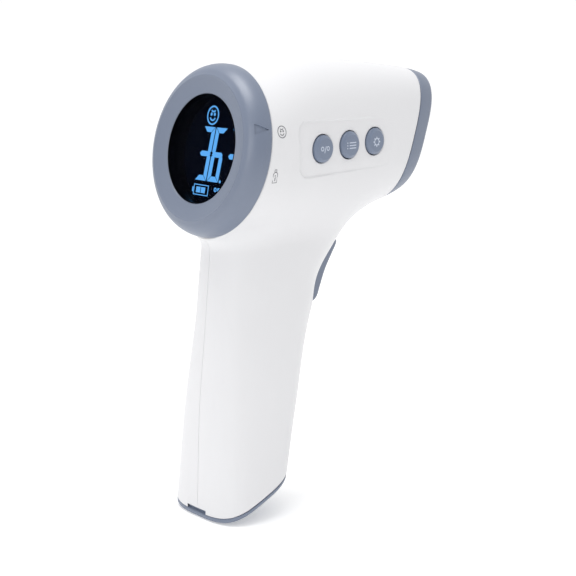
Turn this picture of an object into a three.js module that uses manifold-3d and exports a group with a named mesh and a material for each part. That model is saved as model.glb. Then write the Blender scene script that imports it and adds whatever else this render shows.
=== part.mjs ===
// A pistol-shaped non-contact infrared thermometer, in millimetres, +Z up.
// +Y is the way the sensor looks, +X is the user's right-hand side, where the three buttons are.
// The origin is the middle of the battery lid's outer face, at the bottom of the handle.
import * as THREE from "three";
import { mergeVertices } from "three/addons/utils/BufferGeometryUtils.js";
import Module from "manifold-3d";

const wasm = await Module();
wasm.setup();

// ---------- driving dimensions ----------
const GAP = 0.3; // clearance between neighbouring pieces
const WALL = 2; // thickness of the two housings
const BEYOND = 40; // far enough from the middle plane to be outside every piece
const ROUND = 36; // points round a body section
const INSIDE_ROUND = 24; // points round the same section inside the housings

// The display looks back at the user and up a little. Depth runs from it into the barrel.
const DISPLAY = { y: -12.25, z: 117.5, tilt: 11 };
// The barrel: its sections are parallel to the display, and are rounder there than at the nose.
const BARREL = {
  depth: [6.7, 25, 50, 75, 90],
  top: [28.1, 33.7, 37.5, 39.6, 40.1],
  bottom: [-28.1, -24.8, -17.4, -7.9, 0],
  half: [28.1, 25.2, 22.1, 19.3, 16.8],
  power: [2, 2.5, 2.8, 2.9, 2.9],
};
// The handle: level sections, deeper towards the barrel, where its front flares into the neck.
const HANDLE = {
  height: [0, 30, 60, 85, 105],
  back: [-15, -13.8, -10.9, -8.6, -7.2],
  front: [13.1, 21, 29.6, 42.4, 54],
  half: [18.5, 17.4, 16.5, 16, 16],
  power: [3.2, 2.65, 2.2, 2.3, 2.45],
};
const HANDLE_LOW = -14; // the handle is lofted from here, and its slanted end is cut afterwards

const RING = { window: 17.8, ridge: 23.6, rim: 28.5, back: 6.4, skirt: 24, hook: 24.9, turn: 29 };
const COLLAR = { depth: 6.7, thick: 2.3, inner: 24.4 };
const POINTER = { angle: 17.5, radius: 26.9, size: 3.6, depth: 0.5, face: 52 };

// The nose cap's seam plane and its rounded front: [distance ahead of the seam, inset from the barrel].
const NOSE = { y: 66, z: 118.5, tilt: 17.9, opening: 9 };
const NOSE_PROFILE = [[0.15, 0.1], [3, 0.15], [5.5, 0.35], [7, 0.95], [7.9, 2.1], [8.3, 3.8]];
const BASE = { slope: 24, lid: 1.8, gap: 0.25 };

const BUTTON = { radius: 4.75, proud: 0.9, travel: 0.8, y: [19.3, 32.2, 44.8], z: [117.2, 117.65, 118], taper: 7.1 };
const BUTTON_NAMES = ["unit", "memory", "set"];
const PANEL = { deep: 0.6, fade: 0.75, back: 8.2, front: 56, low: 108.1, high: 126.7, corner: 3 };

// The trigger's finger face is a curve in the middle plane, and the housing is dished around it.
const TRIGGER = { half: 5, pinY: 35.4, pinZ: 85.6, pin: 1.1, pinEnd: 8.5, hub: 2.6 };
const TRIGGER_FACE = {
  height: [61.6, 62.4, 64.2, 68, 73.5, 78, 81.4, 82.8, 83.4],
  front: [31.2, 33, 34.8, 36.1, 38.4, 41.1, 43.1, 43.3, 42.2],
};
const DISH = { z: 74, reach: 11.5, deep: 1.7 };
const CELL = { radius: 5.25, length: 44.5, apart: 5.6, lean: 9.7, foot: 6.5 };
const SCREW = { core: 1.15, head: 2.4, hole: 1.5, post: 3.2, well: 2.9, sleeve: 4.3, seat: -8, end: 8.5 };
const SCREW_PLACES = [[33, 135], [50, 104], [7, 87], [7, 66]];

// Pieces behind the window, [nearest, furthest] depth from the ring's front edge.
const WINDOW = { radius: 17.4, depth: [1, 2.4] };
const LCD = { width: 28, height: 34, depth: [7.6, 9.4] };
const LIGHT = { width: 27, height: 26, depth: [9.8, 12] };
const STRIP = { width: 26, height: 2.2, y: 15.2 };
const MAIN_BOARD = { radius: 22, depth: [12.4, 14], hole: 1.3, holeX: 19 };

// ---------- materials ----------
function finish(color, roughness, metalness = 0) {
  return new THREE.MeshStandardMaterial({ color, roughness, metalness });
}
const WHITE = finish(0xf1f1f3, 0.42);
const SLATE = finish(0x828da2, 0.45);
const BLACK = finish(0x0b0c0f, 0.3);
const GLASS = finish(0x05070b, 0.08);
const BOARD = finish(0x1f6b46, 0.5);
const STEEL = finish(0xb9bdc4, 0.3, 1);
const GOLD = finish(0xc9a24a, 0.3, 1);
const CELL_SKIN = finish(0x3c4657, 0.4, 0.3);
const PALE = finish(0xd9dee6, 0.5);
const RED = finish(0xa8322c, 0.5);
const DARK = finish(0x26282d, 0.5);
const RUBBER = finish(0x4a4d55, 0.8);

// ---------- frames ----------
const degrees = THREE.MathUtils.degToRad;

// A frame whose z axis points back at the user, tilted up, and whose y axis runs up the section.
function facingBack(y, z, tilt) {
  return new THREE.Matrix4().makeRotationX(degrees(90 - tilt)).setPosition(0, y, z);
}
const displayFrame = facingBack(DISPLAY.y, DISPLAY.z, DISPLAY.tilt);
const noseFrame = facingBack(NOSE.y, NOSE.z, NOSE.tilt);
const baseFrame = new THREE.Matrix4().makeRotationX(degrees(BASE.slope));
const cellFrame = new THREE.Matrix4().makeRotationX(degrees(-CELL.lean));
cellFrame.setPosition(0, 0.4, CELL.foot);

// A frame on the barrel's right side: x towards the nose, y up, z outwards.
function sideFrame(x, y, z, taper) {
  const angle = degrees(taper);
  const frame = new THREE.Matrix4().makeBasis(
    new THREE.Vector3(-Math.sin(angle), Math.cos(angle), 0),
    new THREE.Vector3(0, 0, 1),
    new THREE.Vector3(Math.cos(angle), Math.sin(angle), 0),
  );
  return frame.setPosition(x, y, z);
}

// ---------- solids ----------
function solidFrom(geometry, frame = null) {
  const bare = geometry.index ? geometry.toNonIndexed() : geometry.clone();
  const points = new THREE.BufferGeometry();
  points.setAttribute("position", bare.getAttribute("position"));
  if (frame) points.applyMatrix4(frame);
  const merged = mergeVertices(points, 1e-4);
  const index = merged.index.array;
  const kept = [];
  for (let i = 0; i < index.length; i += 3) {
    const [a, b, c] = [index[i], index[i + 1], index[i + 2]];
    if (a !== b && b !== c && c !== a) kept.push(a, b, c);
  }
  return new wasm.Manifold(
    new wasm.Mesh({
      numProp: 3,
      vertProperties: merged.attributes.position.array,
      triVerts: new Uint32Array(kept),
    }),
  );
}

function geometryFrom(solid) {
  const mesh = solid.getMesh();
  const geometry = new THREE.BufferGeometry();
  geometry.setAttribute("position", new THREE.BufferAttribute(mesh.vertProperties, 3));
  geometry.setIndex(new THREE.BufferAttribute(mesh.triVerts, 1));
  geometry.computeVertexNormals();
  return geometry;
}

function joined(solids) {
  return solids.reduce((sum, solid) => sum.add(solid));
}

// A closed loft through rings of points that all have the same count and turn the same way.
function loft(rings) {
  const count = rings[0].length;
  const points = rings.flat();
  const faces = [];
  for (let r = 0; r + 1 < rings.length; r++) {
    for (let i = 0; i < count; i++) {
      const a = r * count + i;
      const b = r * count + ((i + 1) % count);
      faces.push(a, b, b + count, a, b + count, a + count);
    }
  }
  for (const [ring, turned] of [[0, true], [rings.length - 1, false]]) {
    const centre = new THREE.Vector3();
    rings[ring].forEach((p) => centre.addScaledVector(p, 1 / count));
    const middle = points.push(centre) - 1;
    for (let i = 0; i < count; i++) {
      const a = ring * count + i;
      const b = ring * count + ((i + 1) % count);
      faces.push(...(turned ? [b, a, middle] : [a, b, middle]));
    }
  }
  const geometry = new THREE.BufferGeometry().setFromPoints(points);
  geometry.setIndex(faces);
  const solid = solidFrom(geometry);
  return solid.volume() > 0 ? solid : turnedOver(geometry);
}

// The same closed surface with every triangle facing the other way.
function turnedOver(geometry, frame = null) {
  const faces = geometry.index.array;
  const reversed = [];
  for (let i = 0; i < faces.length; i += 3) reversed.push(faces[i], faces[i + 2], faces[i + 1]);
  return solidFrom(geometry.setIndex(reversed), frame);
}

// A solid of revolution about the frame's z axis. The profile lists [radius, z] and closes on itself.
function revolved(profile, frame = null, segments = 32) {
  const outline = [...profile, profile[0]].map(([r, z]) => new THREE.Vector2(r, z));
  if (THREE.ShapeUtils.area(outline) < 0) outline.reverse();
  const geometry = new THREE.LatheGeometry(outline, segments);
  geometry.rotateX(Math.PI / 2);
  const solid = solidFrom(geometry, frame);
  return solid.volume() > 0 ? solid : turnedOver(geometry, frame);
}

function disc(radius, low, high, frame = null, segments = 32, x = 0, y = 0) {
  const geometry = new THREE.CylinderGeometry(radius, radius, high - low, segments);
  geometry.rotateX(Math.PI / 2);
  geometry.translate(x, y, (low + high) / 2);
  return solidFrom(geometry, frame);
}

function block(width, height, depth, x, y, z, frame = null) {
  const geometry = new THREE.BoxGeometry(width, height, depth);
  geometry.translate(x, y, z);
  return solidFrom(geometry, frame);
}

// A round bar along X.
function crossBar(radius, from, to, y, z, segments = 24) {
  const geometry = new THREE.CylinderGeometry(radius, radius, to - from, segments);
  geometry.rotateZ(Math.PI / 2);
  geometry.translate((from + to) / 2, y, z);
  return solidFrom(geometry);
}

function extruded(points, low, high, frame = null) {
  const shape = new THREE.Shape(points.map(([x, y]) => new THREE.Vector2(x, y)));
  const geometry = new THREE.ExtrudeGeometry(shape, { depth: high - low, bevelEnabled: false });
  geometry.translate(0, 0, low);
  return solidFrom(geometry, frame);
}

// ---------- the outer skin ----------
// A smooth curve through the stations, straight beyond both ends.
function along(stations, values, x) {
  const last = stations.length - 1;
  const slope = (i) => {
    const a = Math.max(i - 1, 0);
    const b = Math.min(i + 1, last);
    return (values[b] - values[a]) / (stations[b] - stations[a]);
  };
  if (x <= stations[0]) return values[0] + (x - stations[0]) * slope(0);
  if (x >= stations[last]) return values[last] + (x - stations[last]) * slope(last);
  let i = 0;
  while (x > stations[i + 1]) i++;
  const span = stations[i + 1] - stations[i];
  const t = (x - stations[i]) / span;
  const start = (1 + 2 * t) * (1 - t) ** 2 * values[i] + t * (1 - t) ** 2 * span * slope(i);
  const end = t * t * (3 - 2 * t) * values[i + 1] + t * t * (t - 1) * span * slope(i + 1);
  return start + end;
}

function superellipse(half, low, high, power, inset, count) {
  const middle = (low + high) / 2;
  const rise = (high - low) / 2 - inset;
  const reach = half - inset;
  return Array.from({ length: count }, (_, i) => {
    const angle = (2 * Math.PI * i) / count;
    const c = Math.cos(angle);
    const s = Math.sin(angle);
    return [
      reach * Math.sign(c) * Math.abs(c) ** (2 / power),
      middle + rise * Math.sign(s) * Math.abs(s) ** (2 / power),
    ];
  });
}

function barrelRing(depth, inset, count = ROUND) {
  const at = (values) => along(BARREL.depth, values, depth);
  const { half, bottom, top, power } = BARREL;
  const outline = superellipse(at(half), at(bottom), at(top), at(power), inset, count);
  return outline.map(([x, y]) => new THREE.Vector3(x, y, -depth).applyMatrix4(displayFrame));
}

// The handle's front line, pulled in a little round the trigger.
function handleFront(height) {
  const away = Math.min(1, Math.abs(height - DISH.z) / DISH.reach);
  return along(HANDLE.height, HANDLE.front, height) - DISH.deep * (1 - away ** 2) ** 2;
}

function handleRing(height, inset, count = ROUND) {
  const at = (values) => along(HANDLE.height, values, height);
  const front = handleFront(height);
  const outline = superellipse(at(HANDLE.half), at(HANDLE.back), front, at(HANDLE.power), inset, count);
  return outline.map(([x, y]) => new THREE.Vector3(x, y, height));
}

function barrelSolid(inset, depths, count) {
  return loft(depths.map((depth) => barrelRing(depth, inset, count)));
}

function handleSolid(inset, heights, count) {
  return loft(heights.map((height) => handleRing(height, inset, count)));
}

const HANDLE_HEIGHTS = [HANDLE_LOW, 0, 18, 36, 52, 62, 67, 71, 75, 79, 83, 87, 94, 105];
const BARREL_DEPTHS = [4, 6.7, 14, 24, 37, 50, 63, 75, 90];

// What lies in front of a section plane, or behind it: a large block in that frame.
function beyond(frame, low, high) {
  return block(160, 320, high - low, 0, 0, (low + high) / 2, frame);
}

const outerSkin = barrelSolid(0, BARREL_DEPTHS, ROUND).add(handleSolid(0, HANDLE_HEIGHTS, ROUND));

// ---------- housings ----------
const aboveBase = beyond(baseFrame, BASE.lid + BASE.gap, 300);
const behindNose = beyond(noseFrame, GAP / 2, 300);
const aheadOfRing = beyond(displayFrame, -300, -COLLAR.depth);

const CAVITY_HEIGHTS = [HANDLE_LOW, 0, 25, 50, 62, 68, 74, 80, 86, 94, 103];
const CAVITY_DEPTHS = [COLLAR.depth + COLLAR.thick, 16, 32, 50, 68, 90];

function housingCavity() {
  const barrel = barrelSolid(WALL, CAVITY_DEPTHS, INSIDE_ROUND);
  const handle = handleSolid(WALL, CAVITY_HEIGHTS, INSIDE_ROUND).intersect(
    beyond(displayFrame, -300, -COLLAR.depth - COLLAR.thick),
  );
  const mouth = disc(COLLAR.inner, -COLLAR.depth - COLLAR.thick - 1, 0, displayFrame, 48);
  return joined([barrel, handle, mouth]);
}

// The sockets of the four screws: bosses on both halves, a deep counterbore on the left one.
function screwBosses(side) {
  const posts = SCREW_PLACES.map(([y, z]) =>
    side > 0
      ? crossBar(SCREW.post, GAP / 2, BEYOND, y, z, 14)
      : crossBar(SCREW.sleeve, -BEYOND, -GAP / 2, y, z, 18),
  );
  return joined(posts).intersect(outerSkin);
}

function screwHoles(side) {
  const holes = SCREW_PLACES.flatMap(([y, z]) => [
    crossBar(SCREW.hole, -12, SCREW.end + 1.5, y, z, 12),
    ...(side > 0 ? [] : [crossBar(SCREW.well, -BEYOND, SCREW.seat, y, z, 18)]),
  ]);
  return joined(holes);
}

// The lid's hinge runs along X at the front edge of the base.
const lidFront = handleFront(6) / Math.cos(degrees(BASE.slope)) + 0.35;
const LID_HINGE = { y: lidFront - BASE.lid / 2, z: BASE.lid / 2, pin: 0.5, ears: [7.9, 9.9] };
const lidAxis = new THREE.Vector3(0, LID_HINGE.y, LID_HINGE.z).applyMatrix4(baseFrame);

function hingeEar(side) {
  const [from, to] = LID_HINGE.ears;
  const knuckle = crossBar(BASE.lid / 2, side > 0 ? from : -to, side > 0 ? to : -from, lidAxis.y, lidAxis.z);
  const width = to - from;
  const web = block(width, BASE.lid, 4, (side * (from + to)) / 2, LID_HINGE.y, LID_HINGE.z + 2, baseFrame);
  const hole = crossBar(LID_HINGE.pin + GAP / 2, -20, 20, lidAxis.y, lidAxis.z, 16);
  return knuckle.add(web).intersect(outerSkin).subtract(hole);
}

// The rear edge of the base is notched for the lid's latch.
const LATCH = { half: 6, high: 3.5 };
function latchNotch() {
  return block(2 * LATCH.half, 12, 8, 0, -18, LATCH.high - 4, baseFrame);
}

const buttonFrames = BUTTON.y.map((y, i) => {
  const depth = (y - DISPLAY.y) * Math.cos(degrees(DISPLAY.tilt));
  return sideFrame(along(BARREL.depth, BARREL.half, depth), y, BUTTON.z[i], BUTTON.taper);
});
const panelFrame = buttonFrames[1].clone().multiply(
  new THREE.Matrix4().makeRotationY(degrees(-PANEL.fade)),
);

function panelRecess() {
  const back = PANEL.back - BUTTON.y[1];
  const front = PANEL.front - BUTTON.y[1];
  const low = PANEL.low - BUTTON.z[1];
  const high = PANEL.high - BUTTON.z[1];
  const r = PANEL.corner;
  const shape = new THREE.Shape();
  shape.moveTo(front, low + 1.5);
  shape.lineTo(front, high - 1);
  shape.lineTo(back + r, high);
  shape.absarc(back + r, high - r, r, Math.PI / 2, Math.PI, false);
  shape.lineTo(back + 1, low + r);
  shape.absarc(back + 1 + r, low + r, r, Math.PI, 1.5 * Math.PI, false);
  shape.closePath();
  const geometry = new THREE.ExtrudeGeometry(shape, { depth: 6, bevelEnabled: false, curveSegments: 5 });
  geometry.translate(0, 0, -PANEL.deep / 2);
  return solidFrom(geometry, panelFrame);
}

const triggerLow = TRIGGER_FACE.height[0];
const triggerHigh = TRIGGER_FACE.height.at(-1);
function triggerSlot() {
  const tall = triggerHigh - triggerLow + 4 * GAP;
  const middle = (triggerHigh + triggerLow) / 2;
  return block(2 * TRIGGER.half + 2 * GAP + 0.2, 22, tall, 0, 38, middle);
}

// Short bosses that carry the trigger's pin on both sides of the lever.
function pinBoss(side) {
  const { pinY, pinZ, hub } = TRIGGER;
  const near = TRIGGER.half + 0.5;
  const end = TRIGGER.pinEnd + GAP;
  const boss = side > 0 ? crossBar(hub, near, BEYOND, pinY, pinZ) : crossBar(hub, -BEYOND, -near, pinY, pinZ);
  const bore = crossBar(TRIGGER.pin + GAP / 2, -end, end, pinY, pinZ, 20);
  return boss.intersect(outerSkin).subtract(bore);
}

function housing(side) {
  const half = block(80, 260, 260, side * (40 + GAP / 4), 20, 80);
  const shell = outerSkin.subtract(housingCavity());
  let solid = shell.add(screwBosses(side)).subtract(screwHoles(side));
  solid = solid.intersect(aheadOfRing).intersect(behindNose).intersect(aboveBase);
  solid = solid.subtract(triggerSlot()).add(pinBoss(side)).add(hingeEar(side));
  if (side > 0) {
    const holes = buttonFrames.map((frame) => disc(BUTTON.radius + GAP, -8, 8, frame));
    solid = solid.subtract(joined(holes)).subtract(panelRecess());
  }
  return solid.subtract(latchNotch()).intersect(half);
}

// ---------- display ----------
function modeRing() {
  const outer = [
    [RING.window, 0],
    [20.6, 0.45],
    [RING.ridge, 1.3],
    [25.6, 0.6],
    [27.2, -1.4],
    [28.2, -3.8],
    [RING.rim, -RING.back],
  ];
  const inner = [
    [RING.skirt, -RING.back],
    [RING.skirt, -9.35],
    [RING.hook, -9.35],
    [RING.hook, -10.3],
    [RING.skirt - 1.1, -10.3],
    [RING.skirt - 1.1, -2.8],
    [19.4, -2.8],
    [RING.window, -1.3],
  ];
  const ring = revolved([...outer, ...inner], null, 48);
  const half = POINTER.size / 2;
  const mark = extruded([[half, 0], [-half, half], [-half, -half]], -POINTER.depth, 4);
  const turned = new THREE.Matrix4().makeRotationZ(degrees(POINTER.angle));
  const moved = new THREE.Matrix4().makeTranslation(POINTER.radius, 0, -0.9);
  const tilted = new THREE.Matrix4().makeRotationY(degrees(POINTER.face));
  return ring.subtract(mark.transform(turned.multiply(moved).multiply(tilted).toArray()));
}

// A tube behind the window, with a flange and a floor that frames the display.
function displayCup() {
  const outline = [[17.2, -2.7], [18.8, -2.7], [18.8, -6.3], [22.3, -6.3], [22.3, -7.3], [17.2, -7.3]];
  const floor = disc(17.6, -7.3, -6.6, null, 36).subtract(block(25, 31, 4, 0, 0, -7));
  return revolved(outline, null, 36).add(floor);
}

// A rectangular or round layer of the stack behind the window.
function layer({ width, height, depth: [near, far] }, y = 0) {
  return block(width, height, far - near, 0, y, -(near + far) / 2);
}

function roundLayer({ radius, depth: [near, far] }, segments) {
  return disc(radius, -far, -near, null, segments);
}

function mainBoard() {
  const { hole, holeX } = MAIN_BOARD;
  const holes = [-holeX, holeX].map((x) => disc(hole, -20, 0, null, 16, x, 0));
  return roundLayer(MAIN_BOARD, 40).subtract(joined(holes));
}

// ---------- nose ----------
function insideBarrel(point) {
  const local = point.clone().applyMatrix4(displayFrame.clone().invert());
  const at = (values) => along(BARREL.depth, values, -local.z);
  const middle = (at(BARREL.top) + at(BARREL.bottom)) / 2;
  const rise = (at(BARREL.top) - at(BARREL.bottom)) / 2;
  const power = at(BARREL.power);
  return Math.abs(local.x / at(BARREL.half)) ** power + Math.abs((local.y - middle) / rise) ** power < 1;
}

function insideHandle(point) {
  const at = (values) => along(HANDLE.height, values, point.z);
  const middle = (handleFront(point.z) + at(HANDLE.back)) / 2;
  const depth = (handleFront(point.z) - at(HANDLE.back)) / 2;
  const power = at(HANDLE.power);
  return Math.abs(point.x / at(HANDLE.half)) ** power + Math.abs((point.y - middle) / depth) ** power < 1;
}

// A body's outline on a plane parallel to a frame's, by bisection along rays from the middle.
function outlineOn(frame, inside, z, inset) {
  return Array.from({ length: ROUND }, (_, i) => {
    const angle = (2 * Math.PI * i) / ROUND;
    const direction = new THREE.Vector3(Math.cos(angle), Math.sin(angle), 0);
    let near = 2;
    let far = 40;
    for (let step = 0; step < 24; step++) {
      const middle = (near + far) / 2;
      const point = direction.clone().multiplyScalar(middle).setZ(z).applyMatrix4(frame);
      if (inside(point)) near = middle;
      else far = middle;
    }
    return direction.multiplyScalar(near - inset).setZ(z).applyMatrix4(frame);
  });
}

function noseRing(z, inset) {
  return outlineOn(noseFrame, insideBarrel, z, inset);
}

function baseRing(z, inset) {
  return outlineOn(baseFrame, insideHandle, z, inset);
}

const noseFront = -NOSE_PROFILE.at(-1)[0];
function noseCap() {
  const shell = loft(NOSE_PROFILE.map(([ahead, inset]) => noseRing(-ahead, inset)));
  const skirt = loft([4, -1].map((z) => noseRing(z, WALL + 1)));
  const hollow = loft([5, noseFront + 2.2].map((z) => noseRing(z, WALL + 2.2)));
  const hole = disc(NOSE.opening, noseFront - 1, 0, noseFrame, 40);
  return shell.add(skirt).subtract(hollow).subtract(hole);
}

// The black funnel between the opening in the cap and the sensor's window.
function sensorCone() {
  const lip = noseFront + 0.4;
  return revolved([[7.6, lip], [8.6, lip], [8.6, lip + 1.5], [5.6, 5.6], [4.2, 5.6]], null, 40);
}

// ---------- buttons ----------
function button() {
  const top = BUTTON.proud;
  const r = BUTTON.radius;
  return revolved([[0, top], [r - 1.6, top - 0.08], [r - 0.6, top - 0.3], [r, top - 0.9], [r, -2.5],
    [5.8, -2.5], [5.8, -3.3], [0, -3.3]], null, 24);
}

// ---------- trigger ----------
// Both ends of the finger face curve in below the housing's surface.
function triggerOutline() {
  const front = TRIGGER_FACE.height.map((z, i) => [TRIGGER_FACE.front[i], z]);
  const back = [[36.6, triggerHigh], [27, triggerLow]];
  return [...front, ...back];
}

function trigger() {
  const { pinY, pinZ, hub: hubRadius } = TRIGGER;
  const across = new THREE.Matrix4().makeBasis(
    new THREE.Vector3(0, 1, 0),
    new THREE.Vector3(0, 0, 1),
    new THREE.Vector3(1, 0, 0),
  );
  const lever = extruded(triggerOutline(), -TRIGGER.half, TRIGGER.half, across);
  const hub = crossBar(hubRadius, -TRIGGER.half, TRIGGER.half, pinY, pinZ);
  const arm = block(2 * TRIGGER.half, 5, 6, 0, pinY - 0.1, pinZ - 3.4);
  const bore = crossBar(TRIGGER.pin + GAP / 2, -20, 20, pinY, pinZ, 20);
  return joined([lever, hub, arm]).subtract(bore);
}

// ---------- battery lid ----------
function batteryLid() {
  const plate = loft([[0, 0.7], [0.4, 0.2], [BASE.lid, 0.05]].map(([z, inset]) => baseRing(z, inset)));
  const rim = loft([BASE.lid - 0.5, BASE.lid + 2.6].map((z) => baseRing(z, WALL + 0.9)));
  const well = loft([BASE.lid, BASE.lid + 4].map((z) => baseRing(z, WALL + 2.1)));
  const latchRear = baseRing(BASE.lid, 0).reduce((low, p) => Math.min(low, p.y), 0);
  const tongue = block(2 * (LATCH.half - GAP), 2.2, 2, 0, latchRear + 2.4, BASE.lid + 0.5, baseFrame);
  const beyondHinge = block(60, 20, 20, 0, LID_HINGE.y + 10, 0, baseFrame);
  const nose = crossBar(BASE.lid / 2, -30, 30, lidAxis.y, lidAxis.z).intersect(
    loft([-1, BASE.lid + 1].map((z) => baseRing(z, 0))),
  );
  const slots = [-1, 1].map((side) => {
    const [from, to] = LID_HINGE.ears;
    return block(to - from + 2 * GAP, 5, 9, (side * (from + to)) / 2, LID_HINGE.y, 1, baseFrame);
  });
  const bore = crossBar(LID_HINGE.pin + GAP / 2, -20, 20, lidAxis.y, lidAxis.z, 16);
  const room = block(60, 6, 10, 0, LID_HINGE.y, BASE.lid + 5, baseFrame);
  return joined([plate.subtract(beyondHinge), rim.subtract(well).subtract(room), tongue, nose])
    .subtract(joined(slots))
    .subtract(bore);
}

// ---------- battery bay ----------
function cell() {
  const r = CELL.radius;
  const top = CELL.length;
  return revolved([[0, 0], [r - 0.4, 0], [r, 0.4], [r, top - 1.6], [r - 0.4, top - 1.2], [1.9, top - 1.2],
    [1.9, top], [0, top]], null, 16);
}

function bulkhead() {
  const high = CELL.foot + CELL.length + 3.4;
  return loft([high, high + 1.4].map((z) => handleRing(z, WALL + GAP)));
}

// A flat ribbon or a round lead, swept along a smooth line through the points.
function swept(points, outline, steps) {
  const path = new THREE.CatmullRomCurve3(points.map((p) => new THREE.Vector3(...p)));
  const shape = new THREE.Shape(outline.map(([x, y]) => new THREE.Vector2(x, y)));
  return solidFrom(new THREE.ExtrudeGeometry(shape, { steps, extrudePath: path, bevelEnabled: false }));
}

function circle(radius, count) {
  return Array.from({ length: count }, (_, i) => {
    const angle = (2 * Math.PI * i) / count;
    return [radius * Math.cos(angle), radius * Math.sin(angle)];
  });
}

// ---------- the assembly ----------
const thermometer = new THREE.Group();
const displayGroup = placed(displayFrame);
const noseGroup = placed(noseFrame);
const baseGroup = placed(baseFrame);
const cellGroup = placed(cellFrame);
thermometer.add(displayGroup, noseGroup, baseGroup, cellGroup);

function placed(frame) {
  const group = new THREE.Group();
  frame.decompose(group.position, group.quaternion, group.scale);
  return group;
}

function add(name, solid, material, parent = thermometer) {
  const mesh = new THREE.Mesh(geometryFrom(solid), material);
  mesh.name = name;
  parent.add(mesh);
  return mesh;
}

add("right_housing", housing(1), WHITE);
add("left_housing", housing(-1), WHITE);

add("mode_ring", modeRing(), SLATE, displayGroup);
add("display_window", roundLayer(WINDOW, 36), GLASS, displayGroup);
add("display_cup", displayCup(), BLACK, displayGroup);
add("lcd_panel", layer(LCD), DARK, displayGroup);
add("backlight", layer(LIGHT), PALE, displayGroup);
for (const [name, y] of [["upper", STRIP.y], ["lower", -STRIP.y]]) {
  add(name + "_contact_strip", layer({ ...STRIP, depth: LIGHT.depth }, y), RUBBER, displayGroup);
}
add("main_board", mainBoard(), BOARD, displayGroup);
add("mode_switch", block(3.4, 7, 1.4, 19.6, -8, -11.3), DARK, displayGroup);
add("buzzer", disc(6, -18.2, -14.4, null, 24, -11, -6), BLACK, displayGroup);
add("processor", block(9, 9, 1.4, 8, 6, -15.1), BLACK, displayGroup);

add("nose_cap", noseCap(), SLATE);
add("sensor_cone", sensorCone(), BLACK, noseGroup);
add("sensor_window", disc(3.6, 6, 6.6, null, 24), GLASS, noseGroup);
const canOutline = [[0, 7], [4.1, 7], [4.1, 10.6], [4.7, 10.6], [4.7, 11.2], [0, 11.2]];
add("sensor_can", revolved(canOutline, null, 24), GOLD, noseGroup);
add("sensor_holder", revolved([[5.2, 6.2], [8.2, 6.2], [8.2, 13], [5.2, 13]], null, 28), BLACK, noseGroup);
add("sensor_board", disc(7.8, 13.4, 14.6, null, 24), BOARD, noseGroup);
const ribbon = [[0, 49.8, 123.2], [0, 40, 121], [0, 25, 119.5], [0, 12, 118.5], [0, 3.2, 117.8]];
const ribbonOutline = [[-3.5, -0.35], [3.5, -0.35], [3.5, 0.35], [-3.5, 0.35]];
add("sensor_ribbon", swept(ribbon, ribbonOutline, 12), PALE);

buttonFrames.forEach((frame, i) => {
  const name = BUTTON_NAMES[i];
  const group = placed(frame);
  thermometer.add(group);
  add("button_" + name, button(), SLATE, group);
  const plunger = disc(1.6, -5.2, -4.4, null, 16);
  add("switch_" + name, block(6, 6, 2.6, 0, 0, -6.4).add(plunger), DARK, group);
});
const boardGroup = placed(buttonFrames[1]);
thermometer.add(boardGroup);
add("button_board", block(36, 11, 1.2, 0, 0, -8.7), BOARD, boardGroup);

add("trigger", trigger(), SLATE);
const { pin, pinEnd, pinY, pinZ } = TRIGGER;
add("trigger_pin", crossBar(pin, -pinEnd, pinEnd, pinY, pinZ, 20), STEEL);
add("trigger_switch", block(6, 4.5, 6, 0, 21.4, 68).add(block(2.4, 2.4, 2.4, 0, 24.7, 68)), DARK);
add("trigger_board", block(13, 1.2, 15, 0, 18.2, 68), BOARD);

add("battery_lid", batteryLid(), SLATE);
add("lid_pin", crossBar(LID_HINGE.pin, -9.8, 9.8, lidAxis.y, lidAxis.z, 12), STEEL);
add("lid_contact", block(17, 7, 0.4, 0, 0.4, BASE.lid + 1.2), STEEL, baseGroup);
for (const [name, side] of [["left", -1], ["right", 1]]) {
  const shell = add("battery_" + name, cell(), CELL_SKIN, cellGroup);
  shell.position.x = side * CELL.apart;
  if (side > 0) {
    shell.rotation.x = Math.PI;
    shell.position.z = CELL.length;
  }
  const spring = add("contact_" + name, block(8.5, 8.5, 0.4, 0, 0, CELL.length + 1), STEEL, cellGroup);
  spring.position.x = side * CELL.apart;
}
add("bulkhead", bulkhead(), PALE);

for (const [name, side, material] of [["lead_negative", -1, BLACK], ["lead_positive", 1, RED]]) {
  const x = side * 5;
  const route = [[x, 14, 57], [x, 15.5, 66], [x, 15.5, 80], [x, 13.5, 92], [x, 6, 98], [x, 0.8, 98.8]];
  add(name, swept(route, circle(0.6, 8), 14), material);
}

SCREW_PLACES.forEach(([y, z], i) => {
  const crown = SCREW.seat - 2;
  const head = crossBar(SCREW.head, crown, SCREW.seat - GAP, y, z, 16);
  const cross = block(1.2, 3.4, 0.8, crown - 0.2, y, z).add(block(1.2, 0.8, 3.4, crown - 0.2, y, z));
  const shank = crossBar(SCREW.core, crown + 1, SCREW.end, y, z, 10);
  add("housing_screw_" + (i + 1), head.subtract(cross).add(shank), STEEL);
});

export default thermometer;
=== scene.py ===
import math

import bmesh
import bpy
import numpy as np
from mathutils import Matrix, Vector


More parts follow.
